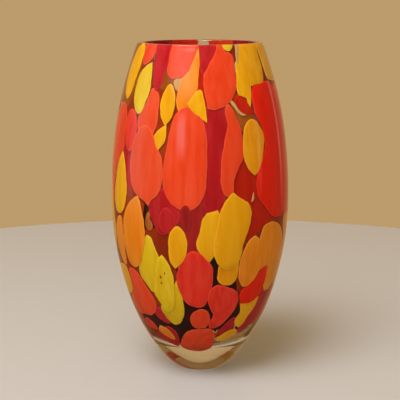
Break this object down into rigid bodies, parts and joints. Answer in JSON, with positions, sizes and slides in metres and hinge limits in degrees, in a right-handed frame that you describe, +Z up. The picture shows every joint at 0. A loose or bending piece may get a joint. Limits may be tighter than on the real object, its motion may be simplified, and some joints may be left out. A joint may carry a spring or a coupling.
{
  "type": "art glass vase",
  "caption": "Closed oval blown glass vase: clear heavy base and casing over a layer of red, orange and yellow glass chips, with a narrow flat foot and a wide round mouth.",
  "frame": {"origin": "middle of the flat foot's underside", "axes": "+Z up the vase's axis to the mouth, -Y to the side with the centre coral chip, +X to that side's right"},
  "size_m": [0.162, 0.162, 0.3],
  "materials": {
    "clear_glass": "fire polished clear glass",
    "lemon_glass": "opaque lemon yellow glass, glossy under the casing",
    "golden_glass": "opaque golden yellow glass, glossy under the casing",
    "orange_glass": "opaque orange glass, glossy under the casing",
    "coral_glass": "opaque coral red glass, glossy under the casing",
    "red_glass": "opaque deep red glass, glossy under the casing",
    "crimson_glass": "half transparent ruby glass, glossy under the casing",
    "amber_glass": "half transparent amber glass, glossy under the casing"
  },
  "bodies": {
    "root": {"outer_casing": "clear_glass", "inner_gather": "clear_glass", "chip_amber_rim_left": "amber_glass", "chip_coral_back_column": "coral_glass", "chip_coral_back_heart": "coral_glass", "chip_coral_back_low": "coral_glass", "chip_coral_band": "coral_glass", "chip_coral_bottom": "coral_glass", "chip_coral_column": "coral_glass", "chip_coral_disc": "coral_glass", "chip_coral_heart": "coral_glass", "chip_coral_low_left": "coral_glass", "chip_coral_rim_back": "coral_glass", "chip_coral_rim_drop": "coral_glass", "chip_coral_shoulder": "coral_glass", "chip_coral_stripe": "coral_glass", "chip_crimson_pair": "crimson_glass", "chip_crimson_rim_lance": "crimson_glass", "chip_crimson_rim_wedge": "crimson_glass", "chip_gold_back_leaf": "golden_glass", "chip_gold_back_low": "golden_glass", "chip_gold_back_oval": "golden_glass", "chip_gold_cluster_left": "golden_glass", "chip_gold_cluster_right": "golden_glass", "chip_gold_eye": "golden_glass", "chip_gold_lance": "golden_glass", "chip_gold_leaf": "golden_glass", "chip_gold_oval": "golden_glass", "chip_garnet_rim_back": "crimson_glass", "chip_gold_rim_right": "golden_glass", "chip_gold_slip": "golden_glass", "chip_gold_wedge": "golden_glass", "chip_golden_rim_lance": "golden_glass", "chip_golden_shoulder": "golden_glass", "chip_lemon_back_lance": "lemon_glass", "chip_lemon_back_leaf": "lemon_glass", "chip_lemon_lance_left": "lemon_glass", "chip_lemon_lance_middle": "lemon_glass", "chip_lemon_lance_right": "lemon_glass", "chip_lemon_leaf": "lemon_glass", "chip_orange_arrow": "orange_glass", "chip_orange_back_flank": "orange_glass", "chip_orange_back_leaf": "orange_glass", "chip_orange_drop": "orange_glass", "chip_orange_flank": "orange_glass", "chip_orange_leaf": "orange_glass", "chip_wine_rim_back": "crimson_glass", "chip_red_back_column": "red_glass", "chip_red_back_oval": "red_glass", "chip_red_flank": "coral_glass", "chip_red_kidney": "red_glass", "chip_red_oval": "red_glass", "chip_red_right_wall": "red_glass", "chip_red_rim_back": "red_glass", "chip_red_triangle": "red_glass", "chip_rose_leaf": "red_glass", "chip_ruby_flank": "crimson_glass", "chip_ruby_rim_back": "crimson_glass", "chip_ruby_shadow": "crimson_glass", "chip_ruby_stripe": "crimson_glass"}
  },
  "joints": []
}
